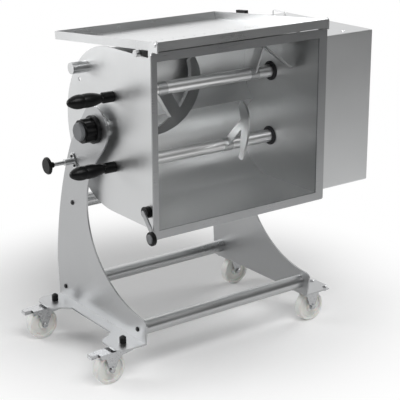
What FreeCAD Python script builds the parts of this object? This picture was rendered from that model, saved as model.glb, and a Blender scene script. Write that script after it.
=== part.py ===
import FreeCAD, Part
import math
import os
import Sketcher

# Tilting meat mixer with two paddle shafts: X along the shafts, Y front to back, Z up from the floor

doc = FreeCAD.newDocument("meat_mixer")
sheet = doc.addObject("Spreadsheet::Sheet", "sheet")
nodes = []


class Size:
    """A length or an angle: its formula from the sheet and its present value."""

    def __init__(self, text, number):
        self.text = text
        self.number = number

    def __add__(self, other):
        return combine(self, "+", other, self.number + size(other).number)

    def __sub__(self, other):
        return combine(self, "-", other, self.number - size(other).number)

    def __mul__(self, other):
        return combine(self, "*", other, self.number * size(other).number)

    def __truediv__(self, other):
        return combine(self, "/", other, self.number / size(other).number)

    def __radd__(self, other):
        return size(other) + self

    def __rsub__(self, other):
        return size(other) - self

    def __rmul__(self, other):
        return size(other) * self

    def __neg__(self):
        return size(0) - self


def size(value):
    return value if isinstance(value, Size) else Size("(%r)" % float(value), float(value))


def combine(left, sign, right, number):
    return Size("(%s %s %s)" % (left.text, sign, size(right).text), number)


def cosine(angle):
    angle = size(angle)
    return Size("cos(%s)" % angle.text, math.cos(math.radians(angle.number)))


def sine(angle):
    angle = size(angle)
    return Size("sin(%s)" % angle.text, math.sin(math.radians(angle.number)))


def tangent(angle):
    return sine(angle) / cosine(angle)


def root(value):
    return Size("sqrt(%s)" % value.text, math.sqrt(value.number))


class Cells:
    """The named cells of the sheet."""

    rows = 0

    def add(self, values):
        for name, number in values.items():
            self.rows += 1
            cell = "B%d" % self.rows
            sheet.set("A%d" % self.rows, name)
            sheet.set(cell, str(number))
            sheet.setAlias(cell, name)
            setattr(self, name, Size("sheet." + name, float(number)))
        sheet.recompute()


d = Cells()


def polar(u, v, radius, angle):
    return (u + radius * cosine(angle), v + radius * sine(angle))


def bind(item, prop, value):
    item.setExpression(prop, size(value).text)


TURN = {
    "X": FreeCAD.Rotation(),
    "-X": FreeCAD.Rotation(FreeCAD.Vector(0, 0, 1), 180),
    "Y": FreeCAD.Rotation(FreeCAD.Vector(0, 0, 1), 90),
    "-Y": FreeCAD.Rotation(FreeCAD.Vector(0, 0, 1), -90),
    "Z": FreeCAD.Rotation(FreeCAD.Vector(0, 1, 0), -90),
    "-Z": FreeCAD.Rotation(FreeCAD.Vector(0, 1, 0), 90),
}


def place(item, at, rotation=None):
    if rotation is not None:
        item.Placement = FreeCAD.Placement(FreeCAD.Vector(), rotation)
    for axis, value in zip("xyz", at):
        bind(item, "Placement.Base." + axis, value)
    return item


def new_body(name):
    body = doc.addObject("PartDesign::Body", name)
    body.Label = name
    return body


def sketch_on(body, role, at=0):
    sketch = body.newObject("Sketcher::SketchObject", body.Name + "_outline")
    plane = [item for item in body.Origin.OriginFeatures if item.Role == role][0]
    sketch.AttachmentSupport = [(plane, "")]
    sketch.MapMode = "FlatFace"
    bind(sketch, "AttachmentOffset.Base.z", at)
    return sketch


def fix_point(sketch, geometry, position, u, v):
    for kind, value in (("DistanceX", size(u)), ("DistanceY", size(v))):
        index = sketch.addConstraint(Sketcher.Constraint(kind, -1, 1, geometry, position, value.number))
        sketch.setExpression("Constraints[%d]" % index, value.text)


def fix_radius(sketch, geometry, radius):
    index = sketch.addConstraint(Sketcher.Constraint("Radius", geometry, radius.number))
    sketch.setExpression("Constraints[%d]" % index, radius.text)


def draw_circle(sketch, u, v, radius):
    u, v, radius = size(u), size(v), size(radius)
    circle = Part.Circle(FreeCAD.Vector(u.number, v.number, 0), FreeCAD.Vector(0, 0, 1), radius.number)
    index = sketch.addGeometry(circle, False)
    fix_point(sketch, index, 3, u, v)
    fix_radius(sketch, index, radius)


def draw_loop(sketch, corners):
    """Each corner is (u, v) or (u, v, radius, turn): the arc goes to the next corner, turn is 1 to the left."""
    flat = [FreeCAD.Vector(size(c[0]).number, size(c[1]).number, 0) for c in corners]
    ends = []
    for index, corner in enumerate(corners):
        start, stop = flat[index], flat[(index + 1) % len(flat)]
        if len(corner) == 2:
            line = sketch.addGeometry(Part.LineSegment(start, stop), False)
            ends.append((line, 1, 2))
            continue
        radius, turn = size(corner[2]), corner[3]
        chord = stop - start
        depth = math.sqrt(max(radius.number ** 2 - (chord.Length / 2) ** 2, 0))
        left = FreeCAD.Vector(-chord.y, chord.x, 0) / chord.Length
        center = (start + stop) / 2 + left * depth * turn
        first, last = (start, stop) if turn > 0 else (stop, start)
        begin = math.atan2(first.y - center.y, first.x - center.x)
        end = math.atan2(last.y - center.y, last.x - center.x)
        if end <= begin:
            end += 2 * math.pi
        circle = Part.Circle(center, FreeCAD.Vector(0, 0, 1), radius.number)
        arc = sketch.addGeometry(Part.ArcOfCircle(circle, begin, end), False)
        ends.append((arc, 1, 2) if turn > 0 else (arc, 2, 1))
        fix_radius(sketch, arc, radius)
    for index, (geometry, first, last) in enumerate(ends):
        after = ends[(index + 1) % len(ends)]
        sketch.addConstraint(Sketcher.Constraint("Coincident", geometry, last, after[0], after[1]))
        fix_point(sketch, geometry, first, corners[index][0], corners[index][1])


def pad(body, role, loops, length, at=0, holes=(), reverse=False):
    sketch = sketch_on(body, role, at)
    for loop in loops:
        draw_loop(sketch, loop)
    for hole in holes:
        draw_circle(sketch, *hole)
    feature = body.newObject("PartDesign::Pad", body.Name + "_pad")
    feature.Profile = sketch
    bind(feature, "Length", length)
    feature.Reversed = reverse
    sketch.Visibility = False
    body.Tip = feature
    return feature


def lathe(name, profile, at, axis="X"):
    """Turned piece: profile corners are (along, radius) and turn about the line through at."""
    body = new_body(name)
    sketch = sketch_on(body, "XY_Plane")
    draw_loop(sketch, profile)
    feature = body.newObject("PartDesign::Revolution", name + "_turned")
    feature.Profile = sketch
    feature.ReferenceAxis = (sketch, ["H_Axis"])
    feature.Angle = 360
    sketch.Visibility = False
    body.Tip = feature
    return place(body, at, TURN[axis])


def ring(name, at, axis, inner, outer, length):
    return lathe(name, [(0, inner), (length, inner), (length, outer), (0, outer)], at, axis)


def rod(name, at, axis, radius, length):
    item = doc.addObject("Part::Cylinder", name)
    bind(item, "Radius", radius)
    bind(item, "Height", length)
    return place(item, at, TURN[axis].multiply(FreeCAD.Rotation(FreeCAD.Vector(0, 1, 0), 90)))


def block(name, at, extent):
    item = doc.addObject("Part::Box", name)
    for prop, value in zip(("Length", "Width", "Height"), extent):
        bind(item, prop, value)
    return place(item, at)


def fuse(name, items):
    item = doc.addObject("Part::MultiFuse", name)
    item.Shapes = items
    item.Label = name
    return item


def cut(name, base, tool):
    item = doc.addObject("Part::Cut", name)
    item.Base = base
    item.Tool = tool
    item.Label = name
    return item


def common(name, base, tool):
    item = doc.addObject("Part::Common", name)
    item.Base = base
    item.Tool = tool
    item.Label = name
    return item


def group(name, items):
    item = doc.addObject("Part::Compound", name)
    item.Links = items
    item.Label = name
    return item


def node(item):
    nodes.append(item)
    return item


# Stand: two sheet legs, each with a round head for the pivot and a turned-out foot flange
stand_sizes = {"left_x": -334, "leg_sheet": 5, "leg_span": 611, "pivot_height": 701, "head_radius": 68,
               "flange_top": 112, "foot_half": 244, "back_low_y": 251, "back_low_z": 225,
               "back_high_y": 138, "back_high_drop": 66, "back_radius": 1060, "waist_top_y": 18,
               "waist_top_drop": 119, "waist_low_y": -1, "waist_low_z": 290, "waist_radius": 235,
               "instep_radius": 340, "toe_y": -234, "toe_z": 184, "toe_radius": 19, "head_back_angle": 38,
               "head_front_angle": 222, "lobe_inner_y": 135, "lobe_corner": 30, "waist_reach": 34,
               "waist_half": 112}
d.add(stand_sizes)
left_in = d.left_x + d.leg_sheet
right_in = left_in + d.leg_span
right_out = right_in + d.leg_sheet
foot_z = d.flange_top - d.leg_sheet

tube_sizes = {"tube_radius": 21.2, "tube_wall": 2, "tube_low_y": 206, "tube_low_z": 145,
              "tube_high_y": 143.5, "tube_high_z": 440, "screw_radius": 4, "hole_clearance": 0.2}
d.add(tube_sizes)
tube_axes = [(-d.tube_low_y, d.tube_low_z), (d.tube_low_y, d.tube_low_z), (d.tube_high_y, d.tube_high_z)]

castor_places = {"castor_from_leg": 46, "castor_y": 197, "left_reach": 91, "stem_radius": 8,
                 "right_reach": 100, "plate_hole_x": 39, "plate_hole_y": 31, "bush_left_radius": 25,
                 "bush_right_radius": 36, "fit_clearance": 0.05, "plunger_y": 122, "plunger_drop": 123,
                 "plunger_radius": 6, "plunger_screw_pitch": 30, "plunger_screw_angle": 60,
                 "small_screw_radius": 2.5}
d.add(castor_places)
castor_left_x = d.left_x - d.castor_from_leg
castor_right_x = right_out + d.castor_from_leg
plunger_z = d.pivot_height - d.plunger_drop


def leg_outline():
    zero = size(0)
    return [(-d.foot_half, foot_z), (d.foot_half, foot_z),
            (d.back_low_y, d.back_low_z, d.back_radius, 1), (d.back_high_y, d.pivot_height - d.back_high_drop),
            polar(zero, d.pivot_height, d.head_radius, d.head_back_angle) + (d.head_radius, 1),
            polar(zero, d.pivot_height, d.head_radius, (d.head_back_angle + d.head_front_angle) / 2)
            + (d.head_radius, 1),
            polar(zero, d.pivot_height, d.head_radius, d.head_front_angle),
            (d.waist_top_y, d.pivot_height - d.waist_top_drop, d.waist_radius, -1),
            (d.waist_low_y, d.waist_low_z, d.instep_radius, -1),
            (d.toe_y, d.toe_z, d.toe_radius, 1), (d.toe_y - d.toe_radius, d.toe_z - d.toe_radius)]


def flange_outline(edge, plate_x, reach, side):
    far = plate_x + side * reach
    near = plate_x + side * d.waist_reach
    bend = far - side * d.lobe_corner
    return [(edge, -d.foot_half),
            (bend, -d.foot_half, d.lobe_corner, side), (far, d.lobe_corner - d.foot_half),
            (far, -d.lobe_inner_y - d.lobe_corner, d.lobe_corner, side), (bend, -d.lobe_inner_y),
            (near, -d.waist_half), (near, d.waist_half), (bend, d.lobe_inner_y, d.lobe_corner, side),
            (far, d.lobe_inner_y + d.lobe_corner), (far, d.foot_half - d.lobe_corner, d.lobe_corner, side),
            (bend, d.foot_half), (edge, d.foot_half)]


screw_holes = [(y, z, d.screw_radius + d.hole_clearance) for y, z in tube_axes]
leg_left = new_body("leg_left")
pad(leg_left, "YZ_Plane", [leg_outline()], d.leg_sheet, d.left_x,
    screw_holes + [(0, d.pivot_height, d.bush_left_radius + d.fit_clearance),
                   (d.plunger_y, plunger_z, d.plunger_radius + d.hole_clearance)]
    + [polar(d.plunger_y, plunger_z, half, d.plunger_screw_angle) + (d.small_screw_radius + d.hole_clearance,)
       for half in (d.plunger_screw_pitch / 2, d.plunger_screw_pitch / -2)])
pad(leg_left, "XY_Plane", [flange_outline(left_in, d.left_x, d.left_reach, -1)], d.leg_sheet, foot_z,
    [(castor_left_x, side * d.castor_y, d.stem_radius + d.hole_clearance) for side in (-1, 1)])
node(leg_left)

leg_right = new_body("leg_right")
pad(leg_right, "YZ_Plane", [leg_outline()], d.leg_sheet, right_in,
    screw_holes + [(0, d.pivot_height, d.bush_right_radius + d.fit_clearance)])
plate_holes = [(castor_right_x + i * d.plate_hole_x, side * d.castor_y + j * d.plate_hole_y)
               for side in (-1, 1) for i in (-1, 1) for j in (-1, 1)]
pad(leg_right, "XY_Plane", [flange_outline(right_in, right_out, d.right_reach, 1)], d.leg_sheet, foot_z,
    [(x, y, d.screw_radius + d.hole_clearance) for x, y in plate_holes])
node(leg_right)

# Three round cross tubes with a threaded plug in each end and a button screw through each leg
plug_sizes = {"plug_length": 16, "screw_head_radius": 7.5, "screw_head_height": 4.5, "thread_length": 14}
d.add(plug_sizes)
tubes = [ring("cross_tube_%d" % i, (left_in, y, z), "X", d.tube_radius - d.tube_wall, d.tube_radius, d.leg_span)
         for i, (y, z) in enumerate(tube_axes)]
node(group("cross_tubes", tubes))
plugs = []
screws = []
for i, (y, z) in enumerate(tube_axes):
    for face, start, axis in (("left", left_in, "X"), ("right", right_in, "-X")):
        plugs.append(ring("plug_%s_%d" % (face, i), (start, y, z), axis, d.screw_radius + d.fit_clearance,
                          d.tube_radius - d.tube_wall - d.fit_clearance, d.plug_length))
    for face, start, axis in (("left", d.left_x, "X"), ("right", right_out, "-X")):
        screws.append(lathe("screw_%s_%d" % (face, i),
                            [(-d.screw_head_height, 0), (d.thread_length, 0), (d.thread_length, d.screw_radius),
                             (0, d.screw_radius), (0, d.screw_head_radius),
                             (-d.screw_head_height / 2, d.screw_head_radius),
                             (-d.screw_head_height, d.screw_head_radius * 0.6)], (start, y, z), axis))
node(group("tube_plugs", plugs))

# Index plunger on the left leg: flanged sleeve, two screws, a sliding pin and its mushroom knob
plunger_sizes = {"plunger_flange": 5, "plunger_flange_half": 10.5, "small_head_radius": 4.5,
                 "small_head_height": 3, "sleeve_radius": 10, "sleeve_length": 30}
d.add(plunger_sizes)
plunger_body = new_body("plunger_body")
zero = size(0)
half_pitch = d.plunger_screw_pitch / 2
across = d.plunger_screw_angle + 90
ends = [polar(zero, zero, reach, d.plunger_screw_angle) for reach in (half_pitch, -half_pitch)]
slot = [polar(ends[0][0], ends[0][1], -d.plunger_flange_half, across) + (d.plunger_flange_half, 1),
        polar(ends[0][0], ends[0][1], d.plunger_flange_half, d.plunger_screw_angle) + (d.plunger_flange_half, 1),
        polar(ends[0][0], ends[0][1], d.plunger_flange_half, across),
        polar(ends[1][0], ends[1][1], d.plunger_flange_half, across) + (d.plunger_flange_half, 1),
        polar(ends[1][0], ends[1][1], -d.plunger_flange_half, d.plunger_screw_angle)
        + (d.plunger_flange_half, 1),
        polar(ends[1][0], ends[1][1], -d.plunger_flange_half, across)]
pin_bore = d.plunger_radius + d.fit_clearance
pad(plunger_body, "YZ_Plane", [slot], d.plunger_flange, -d.plunger_flange,
    [(0, 0, pin_bore)] + [(u, v, d.small_screw_radius + d.hole_clearance) for u, v in ends])
sleeve_start = -d.plunger_flange - d.sleeve_length
sleeve_sketch = sketch_on(plunger_body, "YZ_Plane", sleeve_start)
draw_circle(sleeve_sketch, 0, 0, d.sleeve_radius)
draw_circle(sleeve_sketch, 0, 0, pin_bore)
sleeve = plunger_body.newObject("PartDesign::Pad", "sleeve")
sleeve.Profile = sleeve_sketch
bind(sleeve, "Length", d.sleeve_length + d.plunger_flange)
plunger_body.Tip = sleeve
node(place(plunger_body, (d.left_x, d.plunger_y, plunger_z)))
for i, (u, v) in enumerate(ends):
    screws.append(lathe("plunger_screw_%d" % i,
                        [(-d.small_head_height, 0), (d.plunger_flange + 3, 0),
                         (d.plunger_flange + 3, d.small_screw_radius), (0, d.small_screw_radius),
                         (0, d.small_head_radius), (-d.small_head_height, d.small_head_radius * 0.8)],
                        (d.left_x - d.plunger_flange, d.plunger_y + u, plunger_z + v), "X"))
node(group("leg_screws", screws))

tub_left_sizes = {"tub_left_gap": 23, "pin_parked_gap": 3, "plunger_reach": 98, "knob_depth": 14,
                  "knob_radius": 26, "neck_radius": 8, "neck_length": 12}
d.add(tub_left_sizes)
end_plate_x = left_in + d.tub_left_gap
pin_end = end_plate_x - d.pin_parked_gap
knob_face = d.left_x - d.plunger_reach
node(rod("plunger_pin", (knob_face + d.knob_depth, d.plunger_y, plunger_z), "X", d.plunger_radius,
         pin_end - knob_face - d.knob_depth))
node(lathe("plunger_knob",
           [(0, 0), (0, d.knob_radius * 0.85), (d.knob_depth * 0.3, d.knob_radius),
            (d.knob_depth * 0.6, d.knob_radius), (d.knob_depth, d.neck_radius * 1.4),
            (d.knob_depth + d.neck_length, d.neck_radius),
            (d.knob_depth + d.neck_length, d.plunger_radius + 0.02),
            (d.knob_depth, d.plunger_radius + 0.02), (d.knob_depth, 0)],
           (knob_face, d.plunger_y, plunger_z), "X"))

# Pivot on the left: trunnion on the tub, plastic bush in the leg, lobed clamp knob with a cap
pivot_left_sizes = {"trunnion_radius": 17, "trunnion_flange": 40, "trunnion_plate": 5, "collar_radius": 29,
                    "seat_gap": 0.3, "bush_stand": 2.4, "bush_flange_radius": 42, "bush_flange": 12,
                    "clamp_gap": 0.6, "clamp_radius": 39, "clamp_valley": 34.5, "clamp_lobe_half": 13,
                    "clamp_bore_depth": 30, "clamp_web": 4, "cap_radius": 27, "cap_height": 11.4}
d.add(pivot_left_sizes)
bush_end = left_in + d.bush_stand
bush_face = d.left_x - d.bush_flange
node(lathe("pivot_bush_left",
           [(0, d.trunnion_radius + d.fit_clearance),
            (bush_end - bush_face, d.trunnion_radius + d.fit_clearance),
            (bush_end - bush_face, d.bush_left_radius), (d.bush_flange, d.bush_left_radius),
            (d.bush_flange, d.bush_flange_radius), (2, d.bush_flange_radius), (0, d.bush_flange_radius - 2)],
           (bush_face, 0, d.pivot_height), "X"))
clamp_face = bush_face - d.clamp_gap
stub_end = clamp_face - d.clamp_bore_depth
trunnion_left = lathe("trunnion_left",
                      [(0, 0), (end_plate_x - stub_end - 1, 0), (end_plate_x - stub_end - 1, d.trunnion_radius),
                       (end_plate_x - bush_end - d.seat_gap, d.trunnion_radius),
                       (end_plate_x - bush_end - d.seat_gap, d.collar_radius),
                       (d.trunnion_plate, d.collar_radius), (d.trunnion_plate, d.trunnion_flange),
                       (0, d.trunnion_flange)], (end_plate_x, 0, d.pivot_height), "-X")

lobes = []
count = 8
for i in range(count):
    middle = 360 * i / count
    lobes.append(polar(zero, zero, d.clamp_valley, middle - d.clamp_lobe_half) + (d.clamp_radius * 0.3, 1))
    lobes.append(polar(zero, zero, d.clamp_valley, middle + d.clamp_lobe_half) + (d.clamp_radius * 0.4, -1))
clamp_knob = new_body("clamp_knob")
pad(clamp_knob, "YZ_Plane", [lobes], d.clamp_bore_depth, 0, [(0, 0, d.trunnion_radius + d.fit_clearance)], True)
web = sketch_on(clamp_knob, "YZ_Plane", -d.clamp_bore_depth - d.clamp_web)
draw_circle(web, 0, 0, d.clamp_valley - 1)
web_pad = clamp_knob.newObject("PartDesign::Pad", "clamp_web_pad")
web_pad.Profile = web
bind(web_pad, "Length", d.clamp_web)
clamp_knob.Tip = web_pad
node(place(clamp_knob, (clamp_face, 0, d.pivot_height)))
node(lathe("clamp_cap", [(0, 0), (d.cap_height, 0), (d.cap_height, d.cap_radius - 3),
                         (d.cap_height - 3, d.cap_radius), (0, d.cap_radius)],
           (stub_end - d.clamp_web, 0, d.pivot_height), "-X"))

# Pivot on the right: a short hollow trunnion joins the tub and the drive frame through a bush in the leg
pivot_right_sizes = {"tub_right_gap": 5, "trunnion_right_radius": 30, "trunnion_wall": 6, "bush_lip": 2.4,
                     "bush_lip_radius": 42}
d.add(pivot_right_sizes)
tub_right_x = right_in - d.tub_right_gap
drive_x = right_out + d.tub_right_gap
node(lathe("pivot_bush_right",
           [(-d.bush_lip, d.trunnion_right_radius + d.fit_clearance),
            (d.leg_sheet + d.bush_lip, d.trunnion_right_radius + d.fit_clearance),
            (d.leg_sheet + d.bush_lip, d.bush_right_radius), (0, d.bush_right_radius),
            (0, d.bush_lip_radius), (-d.bush_lip, d.bush_lip_radius)], (right_in, 0, d.pivot_height), "X"))
trunnion_right = ring("trunnion_right", (tub_right_x, 0, d.pivot_height), "X",
                      d.trunnion_right_radius - d.trunnion_wall, d.trunnion_right_radius, drive_x - tub_right_x)
node(group("trunnions", [trunnion_left, trunnion_right]))

# Castors: wheel, fork and axle; braked and swivelling on the left, fixed on the right
castor_sizes = {"wheel_radius": 48, "wheel_width": 30, "axle_radius": 5, "hub_radius": 16, "hub_width": 34,
                "web_depth": 7, "tread_round": 5, "trail": 50, "fork_sheet": 3, "crown_sheet": 3,
                "crown_gap": 1.5, "crown_radius": 30, "skirt": 14, "fork_foot_radius": 10, "fork_outer": 88,
                "race_radius": 26, "cap_nut_radius": 10, "cap_nut_height": 22, "axle_nut_radius": 8,
                "axle_nut": 6}
d.add(castor_sizes)
crown_z = 2 * d.wheel_radius + d.crown_gap
cheek_y = d.hub_width / 2 + 0.3


def wheel(name, x, y):
    half = d.wheel_width / 2
    rim_inner = d.wheel_radius - 12
    return node(lathe(name, [(-d.hub_width / 2, d.axle_radius + d.fit_clearance),
                             (d.hub_width / 2, d.axle_radius + d.fit_clearance),
                             (d.hub_width / 2, d.hub_radius), (half - d.web_depth, d.hub_radius + 2),
                             (half - d.web_depth, rim_inner), (half, rim_inner + 2),
                             (half, d.wheel_radius - d.tread_round, d.tread_round, 1),
                             (half - d.tread_round, d.wheel_radius), (d.tread_round - half, d.wheel_radius,
                                                                      d.tread_round, 1),
                             (-half, d.wheel_radius - d.tread_round), (-half, rim_inner + 2),
                             (d.web_depth - half, rim_inner), (d.web_depth - half, d.hub_radius + 2),
                             (-d.hub_width / 2, d.hub_radius)], (x, y, d.wheel_radius), "Y"))


def cheek(name, y, outline):
    body = new_body(name)
    pad(body, "XZ_Plane", [outline], d.fork_sheet, -y, [(0, d.wheel_radius, d.axle_radius + d.fit_clearance)])
    return body


def axle(name, x, y):
    reach = cheek_y + d.fork_sheet
    nut = reach + d.axle_nut
    return lathe(name, [(-nut, 0), (nut, 0), (nut, d.axle_nut_radius - 1), (nut - 1, d.axle_nut_radius),
                        (reach, d.axle_nut_radius), (reach, d.axle_radius), (-reach, d.axle_radius),
                        (-reach, d.axle_nut_radius), (1 - nut, d.axle_nut_radius), (-nut, d.axle_nut_radius - 1)],
                 (x, y, d.wheel_radius), "Y")


# The fork hangs from the race on a cranked crown, so its wheel trails behind the swivel axis
foot = d.fork_foot_radius
swivel_outline = [(d.trail + d.crown_radius * 0.7, crown_z + d.crown_sheet),
                  (d.trail - d.fork_outer, crown_z + d.crown_sheet),
                  (d.trail - d.fork_outer, crown_z - d.skirt * 0.4),
                  (-foot * 1.8, crown_z - d.skirt), (-foot, d.wheel_radius, foot, 1),
                  (0, d.wheel_radius - foot, foot, 1), (foot, d.wheel_radius),
                  (foot * 1.8 + 10, crown_z - d.skirt), (d.trail + d.crown_radius * 0.7, crown_z - d.skirt * 0.5)]
swivel_forks = {}
heads = []
caps = []
for name, side in (("front", -1), ("rear", 1)):
    y = side * d.castor_y
    hub_x = castor_left_x - d.trail
    cheeks = []
    for hand, offset in (("near", -cheek_y), ("far", cheek_y + d.fork_sheet)):
        plate = cheek("cheek_%s_%s" % (name, hand), offset, swivel_outline)
        cheeks.append(place(plate, (hub_x, y, 0)))
    crown = block("crown_%s" % name, (castor_left_x - d.fork_outer, y - cheek_y - d.fork_sheet, crown_z),
                  (d.fork_outer + d.crown_radius * 0.7, 2 * (cheek_y + d.fork_sheet), d.crown_sheet))
    disc = rod("crown_disc_%s" % name, (castor_left_x, y, crown_z), "Z", d.race_radius, d.crown_sheet)
    shell = fuse("fork_shell_%s" % name, cheeks + [crown, disc])
    bored = cut("fork_bored_%s" % name, shell,
                rod("stem_hole_%s" % name, (castor_left_x, y, crown_z - 5), "Z",
                    d.stem_radius + d.fit_clearance, 20))
    node(group("fork_" + name, [bored, axle("swivel_axle_" + name, hub_x, y)]))
    wheel("wheel_left_" + name, hub_x, y)
    race_low = crown_z + d.crown_sheet + d.seat_gap
    heads.append(lathe("swivel_head_" + name,
                       [(crown_z - 4 - race_low, 0), (foot_z - race_low, 0), (foot_z - race_low, d.race_radius),
                        (0.8, d.race_radius), (0, d.race_radius - 2), (0, d.stem_radius),
                        (crown_z - race_low - d.seat_gap, d.stem_radius),
                        (crown_z - race_low - d.seat_gap, d.stem_radius + 4),
                        (crown_z - 4 - race_low, d.stem_radius + 3)], (castor_left_x, y, race_low), "Z"))
    caps.append(lathe("castor_cap_" + name,
                      [(-d.leg_sheet, 0), (d.cap_nut_height, 0), (d.cap_nut_height, d.cap_nut_radius * 0.4),
                       (d.cap_nut_height - 5, d.cap_nut_radius), (0, d.cap_nut_radius),
                       (0, d.stem_radius), (-d.leg_sheet, d.stem_radius)],
                      (castor_left_x, y, d.flange_top), "Z"))
node(group("swivel_heads", heads))
node(group("castor_caps", caps))

# Brake pedal: a pressed lever with a black pad, hinged between the fork cheeks
pedal_sizes = {"pedal_hinge": 76, "pedal_reach": 114, "pedal_half": 12, "pedal_sheet": 2.5,
               "pad_length": 22, "pad_height": 9, "pedal_pin": 2.5, "pedal_low": 4}
d.add(pedal_sizes)
for name, side in (("front", -1), ("rear", 1)):
    y = side * d.castor_y
    hinge_x = castor_left_x - d.pedal_hinge
    tip_x = castor_left_x - d.pedal_reach
    hinge_z = crown_z - d.pedal_low
    lever = block("lever_" + name, (tip_x, y - d.pedal_half, hinge_z - d.pedal_sheet / 2),
                  (hinge_x - tip_x, 2 * d.pedal_half, d.pedal_sheet))
    pin = rod("pedal_pin_" + name, (hinge_x, y - cheek_y + d.seat_gap, hinge_z), "Y", d.pedal_pin,
              2 * (cheek_y - d.seat_gap))
    tread = block("pedal_pad_" + name, (tip_x + 1, y - d.pedal_half + 1, hinge_z + d.pedal_sheet / 2),
                  (d.pad_length, 2 * d.pedal_half - 2, d.pad_height))
    node(group("brake_pedal_" + name, [fuse("pedal_lever_" + name, [lever, pin]), tread]))

# Fixed castors under the right foot, bolted through the flange
fixed_castor_sizes = {"plate_half_x": 50, "plate_half_y": 42, "fixed_half": 30, "bolt_head": 6.5,
                      "bolt_head_height": 4, "nut_height": 5}
d.add(fixed_castor_sizes)
fixed_outline = [(d.fixed_half, foot_z - d.fork_sheet), (-d.fixed_half, foot_z - d.fork_sheet),
                 (-foot, d.wheel_radius, foot, 1), (0, d.wheel_radius - foot, foot, 1), (foot, d.wheel_radius)]
fixed_parts = []
for name, side in (("front", -1), ("rear", 1)):
    y = side * d.castor_y
    cheeks = [place(cheek("fixed_cheek_%s_near" % name, -cheek_y, fixed_outline), (castor_right_x, y, 0)),
              place(cheek("fixed_cheek_%s_far" % name, cheek_y + d.fork_sheet, fixed_outline),
                    (castor_right_x, y, 0))]
    plate = new_body("fixed_plate_" + name)
    px, py = d.plate_half_x, d.plate_half_y
    pad(plate, "XY_Plane", [[(-px, -py), (px, -py), (px, py), (-px, py)]], d.fork_sheet, 0,
        [(i * d.plate_hole_x, j * d.plate_hole_y, d.screw_radius + d.hole_clearance)
         for i in (-1, 1) for j in (-1, 1)])
    place(plate, (castor_right_x, y, foot_z - d.fork_sheet))
    fixed_parts.append(fuse("fixed_fork_" + name, cheeks + [plate]))
    fixed_parts.append(axle("fixed_axle_" + name, castor_right_x, y))
    wheel("wheel_right_" + name, castor_right_x, y)
node(group("fixed_forks", fixed_parts))
stack = d.leg_sheet + d.fork_sheet
bolts = [lathe("plate_bolt_%d" % i,
               [(-d.nut_height, 0), (stack + d.bolt_head_height, 0),
                (stack + d.bolt_head_height, d.bolt_head * 0.6),
                (stack + d.bolt_head_height / 2, d.bolt_head), (stack, d.bolt_head), (stack, d.screw_radius),
                (0, d.screw_radius), (0, d.bolt_head), (-d.nut_height, d.bolt_head)],
               (x, y, foot_z - d.fork_sheet), "Z") for i, (x, y) in enumerate(plate_holes)]
node(group("castor_plate_bolts", bolts))

# Tub: two D-shaped end plates, a twin-trough sheet and the rim around its mouth
tub_sizes = {"tub_sheet": 3, "plate_half": 244, "plate_y": -44, "mouth_y": -282, "rim_sheet": 5,
             "rim_width": 25, "rim_left": 18.6, "rim_right": 30, "rim_corner": 6, "shaft_y": -58.5,
             "shaft_half": 104, "trough_radius": 134, "index_clearance": 0.2, "shaft_radius": 19.5,
             "seal_radius": 30, "seal_height": 6, "pull_pin_radius": 7}
d.add(tub_sizes)
plate_front = d.mouth_y + d.rim_sheet
wall_left = end_plate_x + d.tub_sheet
wall_right = tub_right_x - d.tub_sheet
shaft_z = {"upper": d.pivot_height + d.shaft_half, "lower": d.pivot_height - d.shaft_half}
d_outline = [(plate_front, d.pivot_height - d.plate_half),
             (d.plate_y, d.pivot_height - d.plate_half, d.plate_half, 1),
             (d.plate_y + d.plate_half, d.pivot_height, d.plate_half, 1),
             (d.plate_y, d.pivot_height + d.plate_half), (plate_front, d.pivot_height + d.plate_half)]
index_holes = [(d.plunger_y, d.pivot_height + i * d.plunger_drop, d.plunger_radius + d.index_clearance)
               for i in (-1, 1)]
end_left = new_body("end_plate_left")
pad(end_left, "YZ_Plane", [d_outline], d.tub_sheet, end_plate_x,
    index_holes + [(d.shaft_y, z, d.pull_pin_radius + d.fit_clearance) for z in shaft_z.values()])
node(end_left)
end_right = new_body("end_plate_right")
pad(end_right, "YZ_Plane", [d_outline], d.tub_sheet, wall_right,
    [(d.shaft_y, z, d.shaft_radius + 0.5) for z in shaft_z.values()])
node(end_right)

outer = d.trough_radius + d.tub_sheet
cusp_out = d.shaft_y + root(outer * outer - d.shaft_half * d.shaft_half)
cusp_in = d.shaft_y + root(d.trough_radius * d.trough_radius - d.shaft_half * d.shaft_half)
top, low = shaft_z["upper"], shaft_z["lower"]
trough = new_body("trough")
pad(trough, "YZ_Plane",
    [[(plate_front, top + outer), (d.shaft_y, top + outer, outer, -1), (cusp_out, d.pivot_height, outer, -1),
      (d.shaft_y, low - outer), (plate_front, low - outer), (plate_front, low - d.trough_radius),
      (d.shaft_y, low - d.trough_radius, d.trough_radius, 1), (cusp_in, d.pivot_height, d.trough_radius, 1),
      (d.shaft_y, top + d.trough_radius), (plate_front, top + d.trough_radius)]],
    wall_right - wall_left, wall_left)
node(trough)

opening = d.shaft_half + d.trough_radius
rim_x = (wall_left - d.rim_left, wall_right + d.rim_right)
rim_z = (d.pivot_height - opening - d.rim_width, d.pivot_height + opening + d.rim_width)
c = d.rim_corner
rim = new_body("mouth_rim")
pad(rim, "XZ_Plane",
    [[(rim_x[0] + c, rim_z[0]), (rim_x[1] - c, rim_z[0], c, 1), (rim_x[1], rim_z[0] + c),
      (rim_x[1], rim_z[1] - c, c, 1), (rim_x[1] - c, rim_z[1]), (rim_x[0] + c, rim_z[1], c, 1),
      (rim_x[0], rim_z[1] - c), (rim_x[0], rim_z[0] + c, c, 1)],
     [(wall_left, d.pivot_height - opening), (wall_right, d.pivot_height - opening),
      (wall_right, d.pivot_height + opening), (wall_left, d.pivot_height + opening)]],
    d.rim_sheet, -plate_front)
node(rim)

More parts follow.
